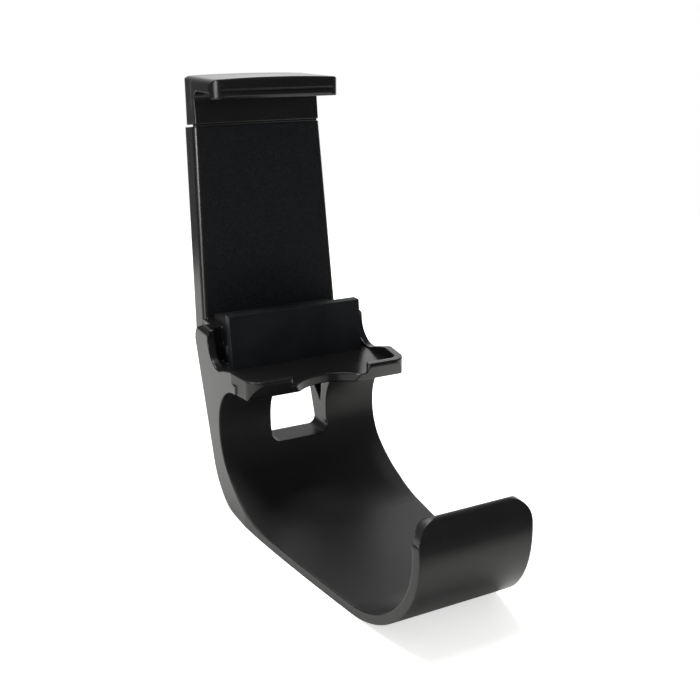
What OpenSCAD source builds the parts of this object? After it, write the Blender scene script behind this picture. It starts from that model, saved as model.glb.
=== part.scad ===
// Clip-on bracket: a hook that wraps round a gamepad and a spring-loaded jaw that holds a phone.
// Width runs along X, the hook reaches towards -Y and Z is up. The flat bottom lies at Z = 0 and
// the neck's inner face at Y = 0. Lengths are in millimetres and angles in degrees.

/* [Hook] */
// Width of the neck and of the shelf's rear
arm_w = 40; // [37:0.2:46]
// Width of the hook at its upturned tip
tip_w = 23.8; // [18:0.2:30]
// Distance from the neck to where the arm starts to narrow
straight_l = 14; // [8:0.5:20]
// Thickness of the strip that runs under the gamepad
strip_t = 2; // [1.6:0.1:3]
// Clear depth from the neck to the inside of the hook
reach = 72.5; // [66:0.1:80]
// Inside radius of the hook
hook_r = 17.2; // [14:0.2:20]
// Angle that the hook turns past upright
hook_turn = 21; // [10:1:30]
// Corner radius of the tip, seen from the front
tip_corner_r = 4.4; // [1:0.2:6]

/* [Neck] */
// Length of the bend from the neck to the flat bottom
bend_l = 24; // [20:0.5:30]
// Radius of the tight part of the bend
bend_r = 12; // [9:0.5:15]
// Outside radius of the heel
heel_r = 13.5; // [9:0.5:15]
// Backward lean of the neck's rear face
neck_lean = 19.3; // [15:1:24]
// Depth of the neck at the height of the shelf floor
neck_d = 12.7; // [11.6:0.1:15]
// Radius of the cove under the shelf
cove_r = 11; // [6:0.5:12]
// Width of the window through the neck
window_w = 14.4; // [10:0.2:18]
// Height of the window's sill
window_sill = 12.9; // [12:0.1:17]
// Corner radius of the window
window_r = 2; // [1:0.2:4]

/* [Shelf] */
// Height of the shelf's underside above the bottom
shelf_z = 30.4; // [28:0.2:40]
// Thickness of the shelf floor
shelf_t = 2; // [1.6:0.1:3]
// Distance that the shelf reaches ahead of the neck
shelf_reach = 17.9; // [15:0.1:20]
// Height of the rim above the shelf floor
rim_h = 2.4; // [1.6:0.1:4]
// Thickness of the rim and of the ears
rim_t = 1.8; // [1.2:0.1:2.4]
// Narrowing of the shelf on each side at its front
shelf_taper = 0.8; // [0:0.1:3]
// Length over which the shelf narrows
taper_l = 9; // [6:0.5:12]
// Corner radius of the shelf
shelf_r = 3.6; // [2:0.2:6]
// Radius of the scallop in the shelf's front edge
scallop_r = 10; // [7:0.5:12]
// Depth of the scallop
scallop_d = 5; // [2:0.5:7]
// Distance from the middle to each end of the front rim
rim_end = 10; // [9:0.2:12]
// Radius of the hollow front edge of the ears
ear_r = 6; // [5:0.5:9]
// Distance from the neck forward to the lowest point of that edge
ear_low = 0.4; // [0:0.2:3]
// Height of that point above the shelf floor
ear_floor = 0.3; // [0.2:0.1:1.2]
// Length over which the rim rises from there to its full height
ramp_l = 8; // [4:0.5:12]
// Radius of the shoulders, seen from the side
shoulder_r = 4.2; // [2:0.2:5]
// Edge radius of the shoulders
shoulder_edge = 1.6; // [0.6:0.1:2]

/* [Phone rest] */
// Height of the phone ledge above the shelf floor
ledge_h = 8; // [6:0.5:11]
// Distance from the upright to the wall that keeps the phone in
slot_d = 12; // [9:0.2:14]
// Thickness of that wall
wall_t = 2.4; // [1.6:0.1:3]
// Distance from each end of that wall to the side of the arm
wall_side = 3.6; // [3:0.1:7]
// Height of that wall above the ledge
wall_rise = 4; // [2:0.2:6]
// Depth of the open ledge at each end of the wall
ledge_d = 7.2; // [5:0.2:9]
// Thickness of the cushions
cushion_t = 1; // [0.6:0.1:1.6]

/* [Upright] */
// Distance from the neck's inner face back to the foot of the upright
upright_y = 14.6; // [13.4:0.1:16]
// Backward lean of the upright
lean = 6.6; // [3:0.2:10]
// Length of the sleeve above the ledge
sleeve_l = 44.3; // [42:0.1:56]
// Depth of the sleeve
sleeve_d = 7.2; // [6.8:0.1:9]
// Width of the sleeve at the ledge
sleeve_w = 34.8; // [32:0.1:36]
// Width of the sleeve at its top
sleeve_top_w = 31.8; // [30:0.1:34]
// Edge radius of the sleeve
sleeve_r = 1.4; // [0.6:0.1:2]
// Width of the channel that the tongue slides in
channel_w = 23; // [20:0.5:24]
// Thickness of the sleeve's front wall
front_t = 1.8; // [1.4:0.1:2.2]
// Thickness of the back cover
cover_t = 1.6; // [1.2:0.1:2]
// Width that the back cover laps over the sleeve's sides
cover_lap = 2.8; // [2.2:0.1:3]
// Height of the slope that carries the back of the sleeve
gusset_h = 9; // [5:0.5:12]
// Height of the guide ribs
rib_h = 0.4; // [0.2:0.1:0.6]

/* [Jaw] */
// Travel of the jaw
travel = 28; // [20:1:28]
// Length of the tongue that stays in the sleeve when the jaw is up
engage = 13.8; // [12:0.2:16]
// Gap between the sleeve and the jaw when it is down
seam = 0.5; // [0.3:0.1:1]
// Height of the jaw's clamping edge above the seam
jaw_open = 6.2; // [4:0.1:10]
// Reach of the jaw ahead of the upright
jaw_reach = 13.4; // [11:0.2:15]
// Height of the jaw's front edge
jaw_h = 4.5; // [3:0.1:6]
// Width of the jaw's front edge
jaw_front_w = 30.8; // [26:0.2:32]
// Distance that the jaw's back is drawn in from the sleeve's sides
jaw_inset = 0.4; // [0:0.1:1]
// Corner radius of the jaw's front
jaw_r = 3; // [1:0.2:5]
// Edge radius along the two sides of the jaw's top
jaw_side_r = 1.6; // [0.6:0.1:2.4]
// Edge radius along the top of the jaw's front
jaw_edge_r = 0.9; // [0.4:0.1:1.4]
// Radius of the crown across the jaw's top
crown_r = 300; // [120:10:400]
// Depth of the hollow under the jaw
jaw_hollow = 1.2; // [0.8:0.1:1.6]
// Thickness of the tongue
tongue_t = 2.4; // [2:0.1:2.6]
// Gap between the tongue and the faces that guide it
glide = 0.3; // [0.3:0.05:0.5]

/* [Springs and fasteners] */
// Outside radius of a spring's coils
spring_r = 1.5; // [1.2:0.1:1.6]
// Radius of the spring wire
wire_r = 0.26; // [0.2:0.02:0.32]
// Number of turns of a spring
spring_turns = 11; // [8:1:14]
// Distance of each spring from the middle
spring_x = 8.2; // [7.6:0.1:8.6]
// Radius of the pins that hold the springs
pin_r = 0.7; // [0.5:0.05:0.9]
// Radius of a cover or jaw screw's shank
screw_r = 0.8; // [0.6:0.05:1]
// Radius of a screw's head
head_r = 1.45; // [1.2:0.05:1.6]
// Height of a screw's head
head_h = 0.9; // [0.6:0.1:1.1]

/* [Hidden] */

$fn = 64;
eps = 0.01;
seat = 0.05;
far = 200;

floor_z = shelf_z + shelf_t;
ledge_z = floor_z + ledge_h;
wall_w = arm_w - 2 * wall_side;
rim_z = floor_z + rim_h;
foot_y = upright_y;

bend_split = 50;
bend_r2 = bend_r + (bend_l - bend_r) / cos(bend_split);
bend_z = strip_t + bend_r2 - (bend_r2 - bend_r) * sin(bend_split);
hook_c = [-(reach - hook_r), strip_t + hook_r];
hook_ro = hook_r + strip_t;
heel_y = rear_y(heel_r) - heel_r / cos(neck_lean);

channel_v = sleeve_d - cover_t;
tongue_v = front_t + rib_h + glide;
spring_v = (front_t + channel_v) / 2;
tongue_w = channel_w - 1;
tongue_low = sleeve_l - travel - engage;
tongue_step = tongue_low + 8.5;
tongue_top = sleeve_l + seam + 7;
tail_w = 2 * (spring_x - spring_r) - 1.2;
channel_low = -1;
anchor_w = 0.6;
pin_w = tongue_step + 2;
cover_low = -2;
cover_high = sleeve_l - 0.8;
screw_x = channel_w / 2 + cover_lap / 2;
jaw_w = sleeve_l + seam;
jaw_screw_x = 5;
jaw_screw_w = jaw_w + 4;
jaw_cushion_side = 1.8;
jaw_cushion_front = 2.9;
jaw_cushion_back = 2.7;
jaw_edge_z = ledge_z + (jaw_w + jaw_open) * cos(lean);
jaw_top_z = jaw_edge_z + jaw_h;
jaw_front_y = front_y(0, jaw_top_z) - jaw_reach;
jaw_bar_top = (jaw_top_z - ledge_z) / cos(lean) + sleeve_d;

// Rear face of the neck at a height
function rear_y(z) = neck_d + (z - floor_z) * tan(neck_lean);

// Plane parallel to the upright, a distance behind its front face, at a height
function front_y(v, z) = foot_y + (z - ledge_z) * tan(lean) + v / cos(lean);

// Half the sleeve's width at a distance along it
function sleeve_hw(w) = (sleeve_w - (sleeve_w - sleeve_top_w) * w / sleeve_l) / 2;

// Half the arm's width at a place in front of the neck
function arm_hw(t) = (arm_w - (arm_w - tip_w) * pow(t, 1.25)) / 2;

// A side outline, drawn in Y and Z, made as wide as given about the middle
module across(w)
    rotate([90, 0, 90])
        translate([0, 0, -w / 2])
            linear_extrude(w)
                children();

// The frame of the leaning upright: X across, Y back from its front face, Z along it from the ledge
module upright_frame()
    translate([0, foot_y, ledge_z])
        rotate([-lean, 0, 0])
            children();

// One wedge of a circle between two angles under 180 degrees apart
module wedge(c, r, a, b)
    translate(c)
        intersection() {
            circle(r);
            polygon([[0, 0], 2 * r * [cos(a), sin(a)],
                2 * r * [cos((a + b) / 2), sin((a + b) / 2)], 2 * r * [cos(b), sin(b)]]);
        }

// Side outline of the space between the shelf, the neck and the bottom
module gamepad_space() {
    translate([-bend_r, bend_z])
        circle(bend_r);
    wedge([-bend_l, strip_t + bend_r2], bend_r2, -90, -bend_split);
    translate([-cove_r, shelf_z - cove_r])
        circle(cove_r);
    translate([-bend_r, bend_z])
        square([bend_r, shelf_z - cove_r - bend_z]);
    translate([-bend_l - eps, bend_z])
        square([bend_l - cove_r + eps, shelf_z - bend_z]);
}

// Side outline of the neck with its heel and bend
module neck_outline()
    difference() {
        union() {
            translate([heel_y, heel_r])
                circle(heel_r);
            polygon([[-bend_l, 0], [heel_y, 0],
                [heel_y + heel_r * cos(neck_lean), heel_r * (1 - sin(neck_lean))],
                [rear_y(floor_z), floor_z], [-cove_r, floor_z], [-cove_r, shelf_z],
                [-bend_l, bend_z]]);
        }
        intersection() {
            gamepad_space();
            translate([-far, 0])
                square([far + eps, shelf_z]);
        }
    }

// Side outline of the flat strip and the hook at its end
module hook_outline() {
    translate([hook_c[0], 0])
        square([-bend_l - hook_c[0] + eps, strip_t]);
    difference() {
        union() {
            wedge(hook_c, hook_ro, 180 - hook_turn, 225);
            wedge(hook_c, hook_ro, 224.9, 270);
        }
        translate(hook_c)
            circle(hook_r);
    }
    translate(hook_c + (hook_r + strip_t / 2) * [-cos(hook_turn), sin(hook_turn)])
        circle(strip_t / 2);
}

// Plan of the arm, which narrows from the neck to the tip
module arm_plan() {
    start = -straight_l;
    end = hook_c[0] - hook_ro;
    side = [for (i = [0:10]) [arm_hw(i / 10), start + (end - start) * i / 10]];
    other = [for (i = [10:-1:0]) [-side[i][0], side[i][1]]];
    polygon(concat([[arm_w / 2, far]], side, other, [[-arm_w / 2, far]]));
}

// What is cut from the tip's two upper corners
module tip_corners() {
    tip_z = hook_c[1] + (hook_r + strip_t / 2) * sin(hook_turn) + strip_t / 2;
    translate([0, hook_c[0], 0])
        rotate([90, 0, 0])
            linear_extrude(hook_ro + 5)
                for (s = [-1, 1])
                    difference() {
                        translate([s * tip_w / 2 - (s > 0 ? tip_corner_r : 5), tip_z - tip_corner_r])
                            square([tip_corner_r + 5, 2 * tip_corner_r]);
                        translate([s * (tip_w / 2 - tip_corner_r), tip_z - tip_corner_r])
                            circle(tip_corner_r);
                    }
}

// Plan of the shelf, drawn in by an amount all round
module shelf_plan(inset) {
    hw = arm_w / 2 - inset;
    fw = arm_w / 2 - shelf_taper - inset;
    front = -shelf_reach + inset;
    r = max(shelf_r - inset, 1);
    for (s = [-1, 1])
        translate([s * (fw - r), front + r])
            circle(r);
    polygon([[-hw, ledge_d], [-hw, -shelf_reach + taper_l], [-fw, front + r], [-fw + r, front],
        [fw - r, front], [fw, front + r], [hw, -shelf_reach + taper_l], [hw, ledge_d]]);
}

// The scallop in the shelf's front edge
module scallop()
    translate([0, -shelf_reach + scallop_d - scallop_r])
        circle(scallop_r);

// Side outline of what the hollow front edge of the ears clears
module ear_hollow() {
    low_z = floor_z + ear_floor;
    translate([-ear_low, low_z + ear_r])
        circle(ear_r);
    polygon([[-ear_low, low_z], [-ear_low, far], [-far, far], [-far, rim_z],
        [-ear_low - ramp_l, rim_z]]);
}

// The shelf's floor and its rim, with a front that leans outwards
module shelf()
    intersection() {
        union() {
            translate([0, 0, shelf_z])
                linear_extrude(shelf_t)
                    difference() {
                        shelf_plan(0);
                        scallop();
                    }
            difference() {
                translate([0, 0, floor_z - eps])
                    linear_extrude(rim_h + eps) {
                        difference() {
                            shelf_plan(0);
                            shelf_plan(rim_t);
                            translate([-rim_end, -far / 2])
                                square([2 * rim_end, far]);
                        }
                        for (s = [-1, 1])
                            translate([s * rim_end, -shelf_reach + rim_t / 2])
                                circle(rim_t / 2);
                    }
                across(far)
                    ear_hollow();
            }
        }
        across(2 * arm_w)
            polygon([[far, 0], [-shelf_reach + 2.4, shelf_z], [-shelf_reach, rim_z - 0.8],
                [-shelf_reach + 0.3, rim_z + 1], [far, rim_z + 1]]);
    }

// Side outline of an ear, from the shoulder down to its lowest point
module ear_outline()
    difference() {
        translate([-ear_low, shelf_z])
            square([ledge_d + ear_low + 1, ledge_z - shelf_z]);
        ear_hollow();
    }

// Side outline of the block that carries the ledge, from a front plane backwards
module block_outline(front)
    polygon([[front - (ledge_z - shelf_z) * tan(lean), shelf_z], [rear_y(shelf_z), shelf_z],
        [rear_y(ledge_z), ledge_z], [front, ledge_z]]);

// The shoulders beside the upright, rounded above and behind
module shoulders()
    intersection() {
        across(arm_w) {
            difference() {
                block_outline(front_y(-ledge_d, ledge_z));
                difference() {
                    translate([rear_y(ledge_z - shoulder_r) - shoulder_r, ledge_z - shoulder_r])
                        square(2 * shoulder_r);
                    translate([rear_y(ledge_z - shoulder_r) - shoulder_r, ledge_z - shoulder_r])
                        circle(shoulder_r);
                }
            }
        }
        rotate([90, 0, 0])
            translate([0, 0, -far / 2])
                linear_extrude(far)
                    shoulder_front();
    }

// Front outline of the shoulders
module shoulder_front() {
    hw = arm_w / 2;
    translate([-hw, 0])
        square([arm_w, ledge_z - shoulder_edge]);
    translate([-hw + shoulder_edge, 0])
        square([arm_w - 2 * shoulder_edge, ledge_z]);
    for (s = [-1, 1])
        translate([s * (hw - shoulder_edge), ledge_z - shoulder_edge])
            circle(shoulder_edge);
}

// The two ears
module ears()
    intersection() {
        for (s = [-1, 1])
            translate([s * (arm_w - rim_t) / 2, 0, 0])
                across(rim_t)
                    ear_outline();
        rotate([90, 0, 0])
            translate([0, 0, -far / 2])
                linear_extrude(far)
                    shoulder_front();
    }

// One cross-section of the sleeve
module sleeve_section(hw)
    for (s = [-1, 1], v = [sleeve_r, sleeve_d - sleeve_r])
        translate([s * (hw - sleeve_r), v])
            circle(sleeve_r, $fn = 32);

// The outer form of the upright between two places along it, drawn in on each side
module upright_bar(low, high, inset)
    hull() {
        translate([0, 0, low])
            linear_extrude(eps)
                sleeve_section(sleeve_hw(low) - inset);
        translate([0, 0, high - eps])
            linear_extrude(eps)
                sleeve_section(sleeve_hw(high) - inset);
    }

// Where the cover's screws stand
module at_cover_screws()
    for (x = [-screw_x, screw_x], w = [4, sleeve_l - 5])
        translate([x, 0, w])
            rotate([-90, 0, 0])
                children();

// Where the jaw's screws stand
module at_jaw_screws()
    for (x = [-jaw_screw_x, jaw_screw_x])
        translate([x, 0, jaw_screw_w])
            rotate([-90, 0, 0])
                children();

// The channel and the rebate for the back cover
module sleeve_hollow() {
    translate([-channel_w / 2, front_t, channel_low])
        cube([channel_w, far, sleeve_l + far]);
    translate([-channel_w / 2 - cover_lap - seat, channel_v, cover_low - seat])
        cube([channel_w + 2 * cover_lap + 2 * seat, far, sleeve_l + far]);
}

// Guide ribs on a face of the channel
module ribs(v, low, high)
    for (x = [-3.4, 3.4])
        translate([x - 0.5, v, low])
            cube([1, rib_h, high - low]);

// The hollow inside the neck, which narrows to an edge
module neck_hollow()
    across(arm_w - 10)
        polygon([[3, window_sill + 6.5], [6.8, window_sill + 10.3], [7.5, floor_z - 1.6],
            [-0.3, floor_z - 1.6], [2.4, window_sill + 11.6]]);

// The window for a plug, which passes through the neck
module window()
    rotate([90, 0, 0])
        translate([0, 0, -far])
            linear_extrude(far + cove_r + 1)
                difference() {
                    translate([-window_w / 2, window_sill])
                        square([window_w, shelf_z - 1.4 - window_sill]);
                    for (s = [-1, 1])
                        difference() {
                            translate([s * window_w / 2 - (s > 0 ? window_r : 0), window_sill])
                                square(window_r);
                            translate([s * (window_w / 2 - window_r), window_sill + window_r])
                                circle(window_r);
                        }
                }

// Side outline of the slope from the back of the neck to the back of the sleeve
module gusset_outline() {
    high = ledge_z - 4;
    front = 4;
    polygon([[front, high], [front, high - gusset_h], [rear_y(high - gusset_h), high - gusset_h],
        [front_y(sleeve_d, high), high]]);
}

// The arm's outer form: hook, neck, shelf, ledge and upright
module arm_body() {
    difference() {
        intersection() {
            across(arm_w + 1) {
                neck_outline();
                hook_outline();
            }
            linear_extrude(floor_z)
                arm_plan();
        }
        tip_corners();
    }
    shelf();
    shoulders();
    ears();
    across(sleeve_w)
        block_outline(front_y(-ledge_d, ledge_z));
    across(wall_w - 1.6)
        block_outline(front_y(-slot_d, ledge_z));
    across(sleeve_w - 2 * sleeve_r)
        gusset_outline();
    upright_frame()
        upright_bar(-5, sleeve_l, 0);
}

// The arm: hook, neck, shelf, ledge and sleeve, moulded in one piece
module hook_arm()
    color("#151517") {
        difference() {
            arm_body();
            window();
            neck_hollow();
            upright_frame() {
                sleeve_hollow();
                at_cover_screws()
                    translate([0, 0, front_t])
                        cylinder(r = screw_r + seat, h = far);
                for (x = [-spring_x, spring_x])
                    translate([x, front_t - 1, anchor_w])
                        rotate([-90, 0, 0])
                            cylinder(r = pin_r + seat, h = 1.2);
            }
        }
        upright_frame()
            ribs(front_t - eps, channel_low + 1, sleeve_l - 1);
    }

// The matt wall that keeps the phone's lower edge in
module grip_wall()
    color("#1b1c1f")
        across(wall_w)
            polygon([[front_y(-slot_d - wall_t, floor_z), floor_z], [front_y(-slot_d, floor_z), floor_z],
                [front_y(-slot_d, ledge_z + wall_rise), ledge_z + wall_rise],
                [front_y(-slot_d - wall_t, ledge_z + wall_rise), ledge_z + wall_rise]]);

// The cushion under the phone
module ledge_cushion()
    color("#232427")
        across(wall_w - 3)
            polygon([[front_y(-slot_d, ledge_z) + 0.4, ledge_z], [front_y(0, ledge_z) - 0.3, ledge_z],
                [front_y(0, ledge_z + cushion_t) - 0.3, ledge_z + cushion_t],
                [front_y(-slot_d, ledge_z + cushion_t) + 0.4, ledge_z + cushion_t]]);

// The cover that closes the back of the sleeve
module back_cover()
    color("#19191b")
        upright_frame()
            difference() {
                union() {
                    translate([-channel_w / 2 - cover_lap, channel_v, cover_low])
                        cube([channel_w + 2 * cover_lap, cover_t, cover_high - cover_low]);
                    ribs(channel_v - rib_h, channel_low + 1, cover_high - 1);
                }
                at_cover_screws() {
                    cylinder(r = screw_r + seat, h = far);
                    translate([0, 0, sleeve_d - head_h - seat])
                        cylinder(r = head_r + seat, h = far);
                }
            }

// A round-headed screw with a cross slot, its head's top at the end of its length
module screw(length)
    difference() {
        union() {
            cylinder(r = screw_r, h = length - head_h / 2);
            translate([0, 0, length - head_h])
                cylinder(r = head_r, h = head_h);
        }
        for (a = [0, 90])
            translate([0, 0, length])
                rotate(a)
                    cube([1.8, 0.35, 0.8], center = true);
    }

// The four screws of the back cover
module cover_screws()
    color("silver")
        upright_frame()
            at_cover_screws()
                translate([0, 0, front_t + 0.4])
                    screw(sleeve_d - front_t - 0.4);

// The two pins that hold the springs' lower ends
module anchor_pins()
    color("silver")
        upright_frame()
            for (x = [-spring_x, spring_x])
                translate([x, front_t - 1, anchor_w])
                    rotate([-90, 0, 0])
                        cylinder(r = pin_r, h = channel_v - front_t + 1 - seat);

// A tube swept along points, with its ends closed
module tube(points, r, sides) {
    n = len(points);
    function dir(i) =
        let (d = points[min(i + 1, n - 1)] - points[max(i - 1, 0)]) d / norm(d);
    function turned(u, i) =
        let (d = dir(min(i, n - 1)), q = u - (u * d) * d) q / norm(q);
    across_dirs = [for (i = 0, u = turned([1, 0.2, 0.1], 0); i < n; i = i + 1, u = turned(u, i)) u];
    function ring(i) =
        let (u = across_dirs[i], v = cross(dir(i), u))
        [for (k = [0:sides - 1]) points[i] + r * (u * cos(360 * k / sides) + v * sin(360 * k / sides))];
    pts = [for (i = [0:n - 1]) each ring(i)];
    walls = [for (i = [0:n - 2], k = [0:sides - 1])
        let (a = i * sides + k, b = i * sides + (k + 1) % sides)
        each [[a, b, b + sides], [a, b + sides, a + sides]]];
    polyhedron(pts, concat([[for (k = [sides - 1:-1:0]) k]], walls,
        [[for (k = [0:sides - 1]) (n - 1) * sides + k]]), convexity = 10);
}

// An extension spring with a hook over each pin
module spring(x) {
    low = anchor_w + pin_r + 1.6;
    high = pin_w - pin_r - 1.6;
    rc = spring_r - wire_r;
    steps = 10;
    gap = 0.06;
    coil = [for (i = [0:spring_turns * steps])
        let (a = 360 * i / steps)
        [x + rc * cos(a), spring_v + rc * sin(a), low + (high - low) * i / (spring_turns * steps)]];
    loop_r = pin_r + wire_r + gap;
    lower = [for (a = [30:30:180])
        [x + loop_r * cos(-a), spring_v, anchor_w + loop_r * sin(-a)]];
    upper = [for (a = [0:30:150])
        [x, spring_v + loop_r * cos(a), pin_w + loop_r * sin(a)]];
    lead = [[x + loop_r, spring_v, anchor_w + 0.2]];
    up_lead = [[x + 0.35 * rc, spring_v + loop_r, high + 0.7]];
    upright_frame()
        tube(concat([for (i = [len(lower) - 1:-1:0]) lower[i]], lead, coil, up_lead, upper), wire_r, 6);
}

module left_spring()
    color("gainsboro")
        spring(-spring_x);

module right_spring()
    color("gainsboro")
        spring(spring_x);

// Side outline of the space under the jaw, in front of the upright
module jaw_space() {
    low_z = ledge_z + sleeve_l * cos(lean) - 4;
    hollow_z = jaw_edge_z + jaw_hollow;
    corner_r = 2;
    corner_y = front_y(0, hollow_z - corner_r) - corner_r / cos(lean);
    polygon([[jaw_front_y - 2, low_z], [front_y(0, low_z), low_z],
        [front_y(0, hollow_z - corner_r), hollow_z - corner_r], [corner_y, hollow_z],
        [jaw_front_y + 2.6, hollow_z], [jaw_front_y + 2, jaw_edge_z],
        [jaw_front_y + 0.5, jaw_edge_z], [jaw_front_y, jaw_edge_z + 0.7],
        [jaw_front_y - 2, jaw_edge_z + 0.7]]);
    translate([corner_y, hollow_z - corner_r])
        circle(corner_r);
}

// Side outline of the jaw, from the seam up and forwards
module jaw_outline() {
    low_z = ledge_z + sleeve_l * cos(lean) - 3;
    rear_r = 3;
    difference() {
        polygon([[jaw_front_y, low_z], [jaw_front_y, jaw_top_z],
            [front_y(sleeve_d, jaw_top_z), jaw_top_z], [front_y(sleeve_d, low_z), low_z]]);
        jaw_space();
        difference() {
            translate([front_y(sleeve_d, jaw_top_z) - rear_r, jaw_top_z - rear_r])
                square(2 * rear_r);
            translate([front_y(sleeve_d, jaw_top_z - rear_r) - rear_r / cos(lean), jaw_top_z - rear_r])
                circle(rear_r);
        }
        difference() {
            translate([jaw_front_y - 1, jaw_top_z - jaw_edge_r])
                square(jaw_edge_r + 1);
            translate([jaw_front_y + jaw_edge_r, jaw_top_z - jaw_edge_r])
                circle(jaw_edge_r);
        }
        translate([jaw_front_y, jaw_edge_z + 1.7])
            circle(0.32, $fn = 24);
    }
}

// Plan of the jaw, with its rounded front
module jaw_plan() {
    hw = jaw_front_w / 2;
    for (s = [-1, 1])
        translate([s * (hw - jaw_r), jaw_front_y + jaw_r])
            circle(jaw_r);
    polygon([[-hw, far], [-hw, jaw_front_y + jaw_r], [-hw + jaw_r, jaw_front_y],
        [hw - jaw_r, jaw_front_y], [hw, jaw_front_y + jaw_r], [hw, far]]);
}

// Front outline of the jaw, with a faint crown and rounded upper corners
module jaw_front_outline() {
    hw = jaw_front_w / 2 + eps;
    side_z = jaw_top_z - crown_r + sqrt(pow(crown_r, 2) - pow(hw - jaw_side_r, 2)) - jaw_side_r;
    translate([-hw, 0])
        square([2 * hw, side_z]);
    for (s = [-1, 1])
        translate([s * (hw - jaw_side_r), side_z])
            circle(jaw_side_r);
    intersection() {
        translate([0, jaw_top_z - crown_r])
            circle(crown_r, $fn = 300);
        translate([-hw + jaw_side_r, 0])
            square([2 * (hw - jaw_side_r), far]);
    }
}

// The jaw that slides up and down, with a socket for its tongue
module top_jaw()
    color("#151517")
        difference() {
            intersection() {
                across(2 * sleeve_w)
                    jaw_outline();
                linear_extrude(far)
                    jaw_plan();
                rotate([90, 0, 0])
                    translate([0, 0, -far])
                        linear_extrude(2 * far)
                            jaw_front_outline();
                union() {
                    upright_frame()
                        upright_bar(jaw_w, jaw_bar_top, jaw_inset);
                    translate([-far / 2, -far + front_y(sleeve_r, jaw_top_z), 0])
                        cube([far, far, far]);
                }
                upright_frame()
                    translate([-far / 2, -far / 2, jaw_w])
                        cube(far);
            }
            upright_frame() {
                translate([-tongue_w / 2 - seat, tongue_v - seat, 0])
                    cube([tongue_w + 2 * seat, tongue_t + 2 * seat, tongue_top + seat]);
                at_jaw_screws() {
                    translate([0, 0, 1.2])
                        cylinder(r = screw_r + seat, h = far);
                    translate([0, 0, sleeve_d - head_h - seat])
                        cylinder(r = head_r + seat, h = far);
                }
            }
        }

// The tongue that slides in the sleeve
module jaw_tongue()
    color("#2b2c30")
        upright_frame()
            difference() {
                union() {
                    translate([-tongue_w / 2, tongue_v, tongue_step])
                        cube([tongue_w, tongue_t, tongue_top - tongue_step]);
                    translate([-tail_w / 2, tongue_v, tongue_low])
                        cube([tail_w, tongue_t, tongue_step - tongue_low + eps]);
                }
                for (x = [-spring_x, spring_x]) {
                    translate([x - spring_r - 0.2, 0, 0])
                        cube([2 * spring_r + 0.4, far, pin_w + 1.6]);
                    translate([x, tongue_v + tongue_t / 2, pin_w])
                        rotate([0, 90, 0])
                            cylinder(r = pin_r + seat, h = 2 * spring_r + 2.2, center = true);
                }
                at_jaw_screws()
                    cylinder(r = screw_r + seat, h = far);
            }

// The two screws that hold the tongue in the jaw
module jaw_screws()
    color("silver")
        upright_frame()
            at_jaw_screws()
                translate([0, 0, 1.4])
                    screw(sleeve_d - 1.4);

// The pins across the tongue that hold the springs' upper ends
module spring_pins()
    color("silver")
        upright_frame()
            for (x = [-spring_x, spring_x])
                translate([x, tongue_v + tongue_t / 2, pin_w])
                    rotate([0, 90, 0])
                        cylinder(r = pin_r, h = 2 * spring_r + 1.8, center = true);

// The cushion in the hollow under the jaw
module jaw_cushion()
    color("#232427")
        translate([0, 0, jaw_edge_z + jaw_hollow - cushion_t])
            linear_extrude(cushion_t)
                translate([-jaw_front_w / 2 + jaw_cushion_side, jaw_front_y + jaw_cushion_front])
                    square([jaw_front_w - 2 * jaw_cushion_side,
                        jaw_reach - jaw_cushion_front - jaw_cushion_back]);

hook_arm();
grip_wall();
ledge_cushion();
back_cover();
cover_screws();
anchor_pins();
left_spring();
right_spring();
top_jaw();
jaw_tongue();
jaw_screws();
spring_pins();
jaw_cushion();
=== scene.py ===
"""Looks of the clip-on bracket: black plastic, foam and steel, in soft studio light."""
import math

import bpy
from mathutils import Matrix, Vector

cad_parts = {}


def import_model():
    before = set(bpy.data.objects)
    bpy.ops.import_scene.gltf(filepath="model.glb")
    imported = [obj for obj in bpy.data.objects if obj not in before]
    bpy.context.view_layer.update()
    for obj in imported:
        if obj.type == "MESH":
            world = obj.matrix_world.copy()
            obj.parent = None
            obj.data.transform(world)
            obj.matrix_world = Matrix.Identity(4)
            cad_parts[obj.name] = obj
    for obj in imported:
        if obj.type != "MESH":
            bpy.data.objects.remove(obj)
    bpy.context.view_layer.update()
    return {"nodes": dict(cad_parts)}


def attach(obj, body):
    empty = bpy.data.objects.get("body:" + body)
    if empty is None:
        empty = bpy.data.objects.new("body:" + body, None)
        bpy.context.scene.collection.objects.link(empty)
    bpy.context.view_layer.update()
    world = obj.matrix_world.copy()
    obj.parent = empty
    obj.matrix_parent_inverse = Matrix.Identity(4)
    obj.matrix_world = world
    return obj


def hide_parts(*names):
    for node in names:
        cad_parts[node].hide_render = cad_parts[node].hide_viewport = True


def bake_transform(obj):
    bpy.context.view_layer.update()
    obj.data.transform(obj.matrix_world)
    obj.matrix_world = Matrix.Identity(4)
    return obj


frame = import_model()
NODES = frame["nodes"]

MM = 0.001

# Camera, solved from the photograph's symmetric left and right edges
CAMERA_PLACE = Vector((-91.8, -201.5, 107.5)) * MM
CAMERA_AZIMUTH = math.radians(-27.65)
CAMERA_DROP = math.radians(18.3)
FOCAL_PX = 1000
IMAGE_PX = 700
SENSOR = 36.0
CLIP_START = 0.01

# The leaning upright, as in the CAD source, in millimetres
LEAN = math.radians(6.6)
UPRIGHT_Y = 14.6
LEDGE_Z = 40.4
SLEEVE_L = 44.3
SLEEVE_HALF_W = (17.4, 15.9)

# Lip in the seam, in the upright's frame: from and to along it, and its plan (across, back)
SEAM = (SLEEVE_L + 0.02, SLEEVE_L + 0.5)
LIP_PLAN = (
    (-14.4, 0.01), (14.4, 0.01), (15.3, 0.6), (15.5, 1.4),
    (15.5, 1.8), (-15.5, 1.8), (-15.5, 1.4), (-15.3, 0.6),
)

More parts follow.
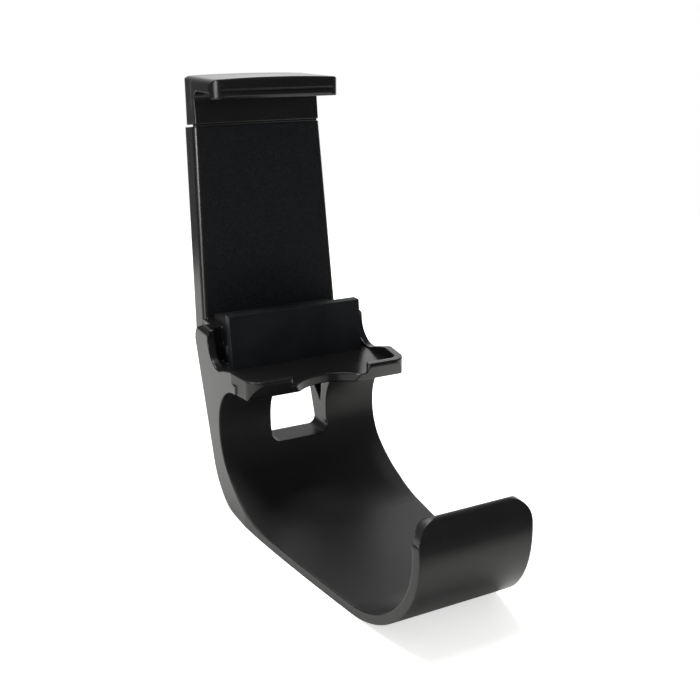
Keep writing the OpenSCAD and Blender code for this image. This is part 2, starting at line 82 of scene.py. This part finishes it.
# Two linear colours of each finish, and its roughness from and to
GLOSS_COLOURS = ((0.0066, 0.0066, 0.0070), (0.0090, 0.0090, 0.0095))
GLOSS_ROUGH = (0.20, 0.27)
MATT_COLOURS = ((0.0030, 0.0038, 0.0056), (0.0112, 0.0126, 0.0160))
MATT_ROUGH = (0.45, 0.55)
MATT_SPECULAR = 0.25
FOAM_COLOURS = ((0.006, 0.006, 0.0065), (0.012, 0.012, 0.013))
FOAM_ROUGH = (0.75, 0.9)
STEEL_COLOURS = ((0.50, 0.51, 0.53), (0.68, 0.68, 0.70))
STEEL_ROUGH = (0.22, 0.34)
FLOOR_COLOURS = ((0.86, 0.86, 0.83), (0.88, 0.88, 0.85))

# Where a noise's colours and roughness start and end on its factor
FLOW_COLOUR_SPAN = (0.35, 0.7)
NOISE_SPAN = (0.3, 0.7)

EDGE_SAMPLES = 8
SKIN_STRENGTH = 0.6

# The arm: its moulded edges, the size of its skin's grain and that grain's depth
ARM_EDGE = 0.55
ARM_GRAIN = 2300.0
ARM_GRAIN_DEPTH = 0.03
# The arm's matt front: how far off the upright's plane it ends, and how far inside the edge
FRONT_OFF = (0.00015, 0.0004)
FRONT_INSIDE = (0.0014, 0.0019)
FRONT_ROUGH = 0.5
FRONT_SKIN = 0.8
ARM_SPECULAR = (0.5, 0.28)
# The hook's duller inside: its normal's z and y, where it starts (y) and where it ends (z)
INNER_UP = (0.15, 0.4)
INNER_FORWARD = (-0.5, -0.25)
INNER_START_Y = (-0.038, -0.030)
INNER_END_Z = (0.0295, 0.0302)
INNER_ROUGH = 0.4
INNER_SKIN = 0.5
OUTER_SKIN = 0.03

# Floor: distances in metres from its middle where it fades, and its glow to the camera
FLOOR_MIDDLE = (0.02, 0.0)
FLOOR_FADE = (0.20, 0.42)
FLOOR_GLOW = 0.6
FLOOR_ROUGH = 0.55
FLOOR_SPECULAR = 0.2
# Painted reflection: how pale glossy faces see the floor, dark far off and in front and paler
# than it is near the hook: from and to in y, then the share at each
PAINTED_REFLECTION_FAR = (0.23, 0.27, 0.66, 0.08)
PAINTED_REFLECTION_FRONT = (-0.128, -0.088, 0.2, 1.35)

# Room that glossy faces see: pale behind on the right, paler low down
ROOM_TURN = 0.6
ROOM_BEHIND = (0.78, 1.1)
ROOM_HEIGHT = (0.05, 0.45, 1.1, 0.75)
ROOM_DIM = 0.1
ROOM_LIGHT = 0.45

# Each lamp's place, target, size and power
LAMPS = {
    "key": ((-0.03, 0.16, 0.60), (0, -0.01, 0.03), (0.30, 0.50), 4.4),
    "glint": ((-0.42, -0.22, 0.12), (0, 0, 0.04), (0.05, 0.05), 0.4),
    "side": ((-0.60, -0.18, 0.10), (0, 0, 0.06), (0.20, 0.24), 0.7),
}


def upright_point(x, v, w):
    """A point in the upright's frame (across, back, along) in mm, as metres in the row frame."""
    y = UPRIGHT_Y + v * math.cos(LEAN) + w * math.sin(LEAN)
    z = LEDGE_Z - v * math.sin(LEAN) + w * math.cos(LEAN)
    return Vector((x, y, z)) * MM


# ---------------------------------------------------------------- node helpers

def node_tree(name):
    """A new material with its tree, its Principled shader and its output."""
    mat = bpy.data.materials.new(name)
    mat.use_nodes = True
    tree = mat.node_tree
    tree.nodes.clear()
    out = tree.nodes.new("ShaderNodeOutputMaterial")
    shader = tree.nodes.new("ShaderNodeBsdfPrincipled")
    tree.links.new(shader.outputs["BSDF"], out.inputs["Surface"])
    return mat, tree, shader, out


def add(tree, kind, **values):
    """A node with inputs set by name, and properties set where an input has no such name."""
    node = tree.nodes.new(kind)
    for key, value in values.items():
        if key in node.inputs:
            node.inputs[key].default_value = value
        else:
            setattr(node, key, value)
    return node


def feed(tree, socket, value):
    """Links a node's output to a socket, or sets the socket to a constant."""
    if isinstance(value, bpy.types.NodeSocket):
        tree.links.new(value, socket)
    else:
        socket.default_value = value


def own_place(tree):
    """The object's own coordinates."""
    return add(tree, "ShaderNodeTexCoord").outputs["Object"]


def xyz(tree, vector):
    """The three parts of a vector."""
    node = add(tree, "ShaderNodeSeparateXYZ")
    tree.links.new(vector, node.inputs[0])
    return tuple(node.outputs)


def noise(tree, place, scale, detail=2.0, roughness=0.5):
    """A noise over a place, as a factor."""
    node = add(tree, "ShaderNodeTexNoise", Scale=scale, Detail=detail, Roughness=roughness)
    tree.links.new(place, node.inputs["Vector"])
    return node.outputs["Fac"]


def flow_noise(tree, place):
    """The faint flow in the colour and gloss of moulded plastic."""
    return noise(tree, place, 55.0, 3.0, 0.55)


def math_node(tree, operation, a, b=0.0):
    """The result of a Math node."""
    node = add(tree, "ShaderNodeMath", operation=operation)
    feed(tree, node.inputs[0], a)
    feed(tree, node.inputs[1], b)
    return node.outputs[0]


def span(tree, value, low, high, to_low=0.0, to_high=1.0):
    """A value mapped smoothly from one span to another."""
    node = add(tree, "ShaderNodeMapRange", interpolation_type="SMOOTHSTEP")
    feed(tree, node.inputs["Value"], value)
    feed(tree, node.inputs["From Min"], low)
    feed(tree, node.inputs["From Max"], high)
    feed(tree, node.inputs["To Min"], to_low)
    feed(tree, node.inputs["To Max"], to_high)
    return node.outputs["Result"]


def below(tree, value, low, high):
    """A mask that is 1 below a span and 0 above it."""
    return span(tree, value, low, high, 1.0, 0.0)


def choose(tree, mask, at_zero, at_one):
    """One value where a mask is 0 and another where it is 1."""
    return span(tree, mask, 0.0, 1.0, at_zero, at_one)


def mix_colour(tree, factor, a, b):
    """A colour between two."""
    node = add(tree, "ShaderNodeMix", data_type="RGBA")
    feed(tree, node.inputs[0], factor)
    feed(tree, node.inputs[6], a)
    feed(tree, node.inputs[7], b)
    return node.outputs[2]


def ramp(tree, factor, low, high, stops):
    """A colour ramp between two places on a factor, with two stop colours."""
    node = add(tree, "ShaderNodeValToRGB")
    for stop, position, colour in zip(node.color_ramp.elements, (low, high), stops):
        stop.position = position
        stop.color = (*colour, 1)
    tree.links.new(factor, node.inputs["Fac"])
    return node.outputs["Color"]


# ---------------------------------------------------------------- materials

def soft_edges(tree, shader, edge, grain, depth):
    """Rounded edges and a fine skin on a shader. Returns the skin's Bump node."""
    bevel = add(tree, "ShaderNodeBevel", samples=EDGE_SAMPLES, Radius=edge * MM)
    bump = add(tree, "ShaderNodeBump", Strength=SKIN_STRENGTH, Distance=depth * MM)
    tree.links.new(grain, bump.inputs["Height"])
    tree.links.new(bevel.outputs["Normal"], bump.inputs["Normal"])
    tree.links.new(bump.outputs["Normal"], shader.inputs["Normal"])
    return bump


def moulded(name, colours, rough, edge, grain_size, grain_depth, specular=0.5):
    """Moulded plastic or foam: a faint flow, a fine skin and rounded edges."""
    mat, tree, shader, _ = node_tree(name)
    place = own_place(tree)
    flow = flow_noise(tree, place)
    feed(tree, shader.inputs["Base Color"], ramp(tree, flow, *FLOW_COLOUR_SPAN, colours))
    feed(tree, shader.inputs["Roughness"], span(tree, flow, *NOISE_SPAN, *rough))
    shader.inputs["Specular IOR Level"].default_value = specular
    soft_edges(tree, shader, edge, noise(tree, place, grain_size), grain_depth)
    return mat


def front_mask(tree, place):
    """1 on the matt front of the upright, within its glossy edges."""
    x, y, z = xyz(tree, place)
    rise = math_node(tree, "SUBTRACT", z, LEDGE_Z * MM)
    lean_y = math_node(tree, "MULTIPLY", rise, math.tan(LEAN))
    off = math_node(tree, "SUBTRACT", math_node(tree, "SUBTRACT", y, UPRIGHT_Y * MM), lean_y)
    on_plane = below(tree, math_node(tree, "ABSOLUTE", off), *FRONT_OFF)
    half_widths = [half * MM for half in SLEEVE_HALF_W]
    half = span(tree, rise, 0.0, SLEEVE_L * MM, *half_widths)
    inside = math_node(tree, "SUBTRACT", half, math_node(tree, "ABSOLUTE", x))
    return math_node(tree, "MULTIPLY", on_plane, span(tree, inside, *FRONT_INSIDE))


def inner_mask(tree, place, normal):
    """1 on the hook's inside, which faces up, and forward at the bend and the neck."""
    _, y, z = xyz(tree, place)
    _, normal_y, normal_z = xyz(tree, normal)
    upward = span(tree, normal_z, *INNER_UP)
    forward = below(tree, normal_y, *INNER_FORWARD)
    behind = span(tree, y, *INNER_START_Y)
    faces_in = math_node(tree, "MAXIMUM", upward, math_node(tree, "MULTIPLY", forward, behind))
    return math_node(tree, "MULTIPLY", faces_in, below(tree, z, *INNER_END_Z))


def arm_plastic(name):
    """The arm's glossy moulding, matt on the upright's front and duller inside the hook."""
    mat, tree, shader, _ = node_tree(name)
    coords = add(tree, "ShaderNodeTexCoord")
    place = coords.outputs["Object"]
    front = front_mask(tree, place)
    inner = inner_mask(tree, place, coords.outputs["Normal"])

    flow = flow_noise(tree, place)
    fine = noise(tree, place, ARM_GRAIN)
    glossy = ramp(tree, flow, *FLOW_COLOUR_SPAN, GLOSS_COLOURS)
    dull = ramp(tree, fine, *NOISE_SPAN, MATT_COLOURS)
    feed(tree, shader.inputs["Base Color"], mix_colour(tree, front, glossy, dull))
    sheen = choose(tree, inner, span(tree, flow, *NOISE_SPAN, *GLOSS_ROUGH), INNER_ROUGH)
    feed(tree, shader.inputs["Roughness"], choose(tree, front, sheen, FRONT_ROUGH))
    feed(tree, shader.inputs["Specular IOR Level"], choose(tree, front, *ARM_SPECULAR))
    bump = soft_edges(tree, shader, ARM_EDGE, fine, ARM_GRAIN_DEPTH)
    skin = choose(tree, inner, OUTER_SKIN, INNER_SKIN)
    feed(tree, bump.inputs["Strength"], choose(tree, front, skin, FRONT_SKIN))
    return mat


def steel():
    """Bright drawn steel with fine marks."""
    mat, tree, shader, _ = node_tree("bright_steel")
    marks = noise(tree, own_place(tree), 900.0, 3.0)
    feed(tree, shader.inputs["Base Color"], ramp(tree, marks, *NOISE_SPAN, STEEL_COLOURS))
    shader.inputs["Metallic"].default_value = 1.0
    feed(tree, shader.inputs["Roughness"], span(tree, marks, *NOISE_SPAN, *STEEL_ROUGH))
    return mat


# Name, colours, roughness, edge in mm, grain's scale, its depth in mm, and specular level
ARM = arm_plastic("arm_plastic")
GLOSS = moulded("gloss_black_plastic", GLOSS_COLOURS, GLOSS_ROUGH, 0.55, 1400.0, 0.003)
MATT = moulded("matt_black_plastic", MATT_COLOURS, MATT_ROUGH, 0.22, 2300.0, 0.04, MATT_SPECULAR)
FOAM = moulded("black_foam", FOAM_COLOURS, FOAM_ROUGH, 0.2, 3200.0, 0.12)
STEEL = steel()

FINISH = {
    "hook_arm": ARM, "top_jaw": GLOSS, "back_cover": GLOSS,
    "grip_wall": MATT, "jaw_tongue": MATT,
    "ledge_cushion": FOAM, "jaw_cushion": FOAM,
    "cover_screws": STEEL, "jaw_screws": STEEL, "anchor_pins": STEEL, "spring_pins": STEEL,
    "left_spring": STEEL, "right_spring": STEEL,
}
for node_name, material in FINISH.items():
    slots = NODES[node_name].data.materials
    slots.clear()
    slots.append(material)


# ---------------------------------------------------------------- spring copies

def stretching_spring(side):
    """A copy of a spring that stands in for it, with the spring itself hidden."""
    source = NODES[side + "_spring"]
    wire = bpy.data.objects.new(side + "_spring_wire", source.data.copy())
    bpy.context.scene.collection.objects.link(wire)
    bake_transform(wire)
    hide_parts(side + "_spring")


for side_name in ("left", "right"):
    stretching_spring(side_name)


# ---------------------------------------------------------------- lip in the seam

def seam_lip():
    """A thin lip under the jaw that closes the front of the seam, as on the object."""
    count = len(LIP_PLAN)
    points = [upright_point(x, v, w) for w in SEAM for x, v in LIP_PLAN]
    faces = [tuple(reversed(range(count))), tuple(range(count, 2 * count))]
    faces += [(i, (i + 1) % count, count + (i + 1) % count, count + i) for i in range(count)]
    mesh = bpy.data.meshes.new("seam_lip")
    mesh.from_pydata(points, [], faces)
    lip = bpy.data.objects.new("seam_lip", mesh)
    bpy.context.scene.collection.objects.link(lip)
    mesh.materials.append(GLOSS)
    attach(lip, "jaw")


seam_lip()


# ---------------------------------------------------------------- camera, stage and light

def place_camera():
    """The photograph's camera: level, with its solved place, direction and focal length."""
    data = bpy.data.cameras.new("camera")
    camera = bpy.data.objects.new("camera", data)
    bpy.context.scene.collection.objects.link(camera)
    turn = Matrix.Rotation(CAMERA_AZIMUTH, 4, "Z")
    tilt = Matrix.Rotation(math.pi / 2 - CAMERA_DROP, 4, "X")
    camera.matrix_world = Matrix.Translation(CAMERA_PLACE) @ turn @ tilt
    data.sensor_width = SENSOR
    data.lens = SENSOR * FOCAL_PX / IMAGE_PX
    data.clip_start = CLIP_START
    bpy.context.scene.camera = camera


def floor_material():
    """A pale floor that fades into the white world. Glossy faces see both its ends dark and its
    middle paler: a painted reflection in its colour for glossy rays.
    """
    mat, tree, shader, out = node_tree("pale_floor")
    place = own_place(tree)
    pale = ramp(tree, noise(tree, place, 40.0), *NOISE_SPAN, FLOOR_COLOURS)
    _, y, _ = xyz(tree, place)
    # Painted reflection: for glossy rays only, the floor's colour is dark far off and in front
    # and paler than the floor near the hook
    mirrored = math_node(tree, "MULTIPLY", span(tree, y, *PAINTED_REFLECTION_FAR), span(tree, y, *PAINTED_REFLECTION_FRONT))
    path = add(tree, "ShaderNodeLightPath")
    share = choose(tree, path.outputs["Is Glossy Ray"], 1.0, mirrored)
    feed(tree, shader.inputs["Base Color"], mix_colour(tree, share, (0, 0, 0, 1), pale))
    shader.inputs["Roughness"].default_value = FLOOR_ROUGH
    shader.inputs["Specular IOR Level"].default_value = FLOOR_SPECULAR
    shader.inputs["Emission Color"].default_value = (1, 1, 1, 1)
    glow = math_node(tree, "MULTIPLY", path.outputs["Is Camera Ray"], FLOOR_GLOW)
    feed(tree, shader.inputs["Emission Strength"], glow)

    apart = add(tree, "ShaderNodeVectorMath", operation="DISTANCE")
    tree.links.new(place, apart.inputs[0])
    apart.inputs[1].default_value = (*FLOOR_MIDDLE, 0)
    clear = add(tree, "ShaderNodeBsdfTransparent")
    mixed = add(tree, "ShaderNodeMixShader")
    feed(tree, mixed.inputs[0], span(tree, apart.outputs["Value"], *FLOOR_FADE))
    tree.links.new(shader.outputs[0], mixed.inputs[1])
    tree.links.new(clear.outputs[0], mixed.inputs[2])
    tree.links.new(mixed.outputs[0], out.inputs["Surface"])
    return mat


def stage():
    """A pale floor that keeps the shadow."""
    bpy.ops.mesh.primitive_plane_add(size=1, location=(0, 0, 0))
    floor = bpy.context.active_object
    floor.name = "floor"
    floor.data.materials.append(floor_material())


def lamp(name, place, target, size, power):
    """A soft rectangular light that faces a target."""
    data = bpy.data.lights.new(name, "AREA")
    data.shape = "RECTANGLE"
    data.size, data.size_y = size
    data.energy = power
    light = bpy.data.objects.new(name, data)
    bpy.context.scene.collection.objects.link(light)
    light.location = place
    light.rotation_euler = (Vector(target) - Vector(place)).to_track_quat("-Z", "Y").to_euler()


def world():
    """White to the camera, a dim room to glossy faces, and soft light for all else."""
    scene_world = bpy.data.worlds.new("world")
    scene_world.use_nodes = True
    tree = scene_world.node_tree
    back = tree.nodes["Background"]
    x, y, z = xyz(tree, add(tree, "ShaderNodeTexCoord").outputs["Generated"])
    ahead = math_node(tree, "ADD", y, math_node(tree, "MULTIPLY", x, ROOM_TURN))
    behind = span(tree, ahead, *ROOM_BEHIND)
    pale = math_node(tree, "MULTIPLY", behind, span(tree, z, *ROOM_HEIGHT))
    mirrored = math_node(tree, "ADD", pale, ROOM_DIM)
    path = add(tree, "ShaderNodeLightPath")
    room = choose(tree, path.outputs["Is Glossy Ray"], ROOM_LIGHT, mirrored)
    feed(tree, back.inputs["Color"], (1, 1, 1, 1))
    feed(tree, back.inputs["Strength"], choose(tree, path.outputs["Is Camera Ray"], room, 1.0))
    bpy.context.scene.world = scene_world


place_camera()
stage()
for lamp_name, settings in LAMPS.items():
    lamp(lamp_name, *settings)
world()
bpy.context.scene.view_settings.view_transform = "Standard"
